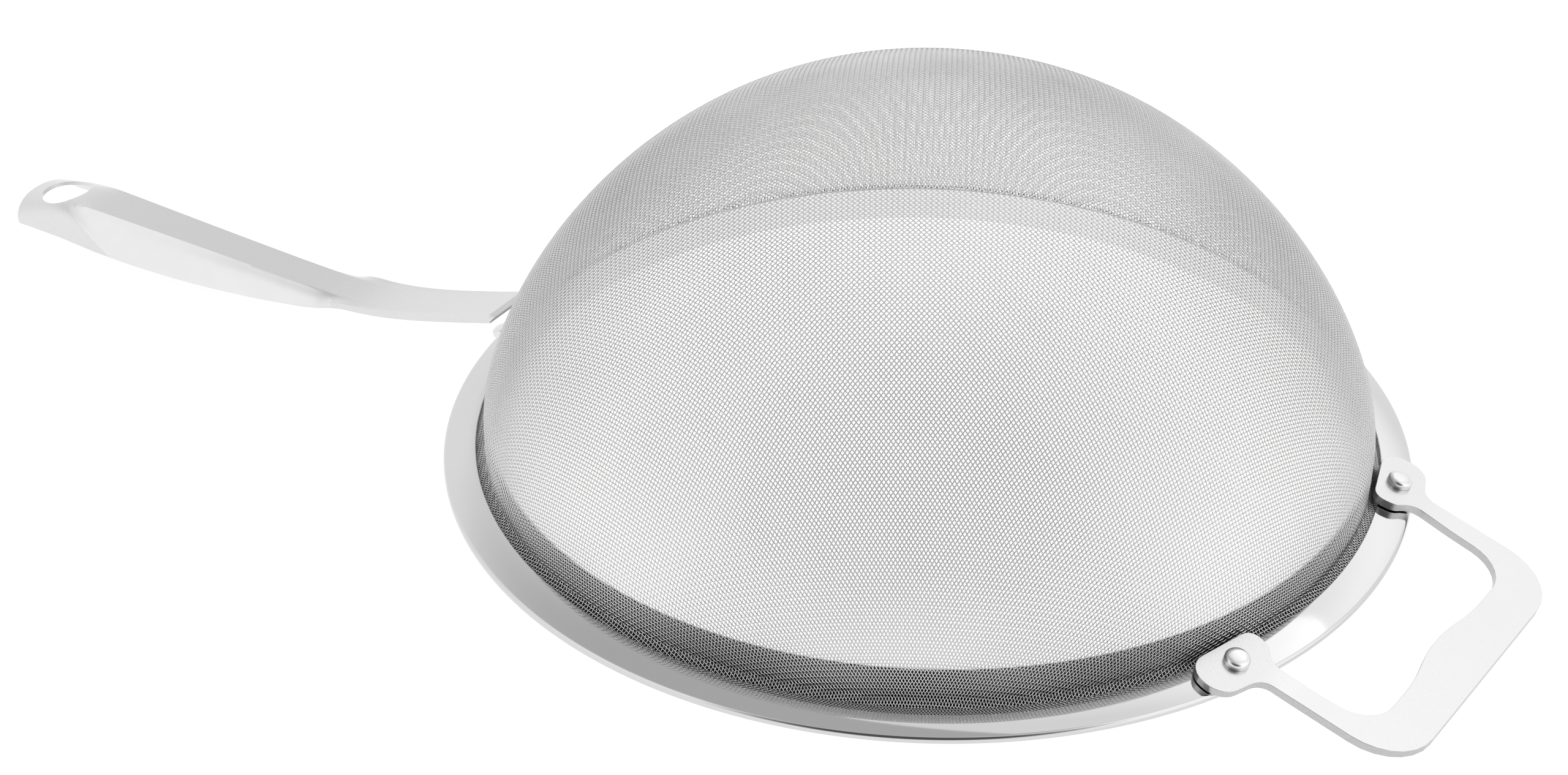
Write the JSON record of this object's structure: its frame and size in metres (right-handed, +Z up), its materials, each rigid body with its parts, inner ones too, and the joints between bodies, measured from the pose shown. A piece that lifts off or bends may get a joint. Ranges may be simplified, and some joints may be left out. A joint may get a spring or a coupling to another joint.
{
  "type": "hand strainer",
  "caption": "Round wire cloth strainer with a wide flat steel rim, a long riveted handle with a hanging hole, and a short loop handle opposite.",
  "frame": {"origin": "bottom centre of the whole object's box, with the strainer standing dome up as in the picture", "axes": "+X runs from the long handle's end to the loop handle, +Y across the object, +Z up along the bowl's axis to the top of the dome"},
  "size_m": [0.4774, 0.254, 0.1305],
  "materials": {
    "polished_steel": "mirror polished",
    "woven_wire": "drawn bright wire, plain weave",
    "brushed_steel": "brushed lengthwise",
    "rivet_steel": "polished"
  },
  "bodies": {
    "root": {"rim_flange": "polished_steel", "rim_collar": "polished_steel", "mesh_bowl": "woven_wire", "long_handle": "brushed_steel", "helper_handle": "brushed_steel", "helper_rivet_left": "rivet_steel", "helper_rivet_right": "rivet_steel", "handle_rivet_left": "rivet_steel", "handle_rivet_right": "rivet_steel"}
  },
  "joints": []
}
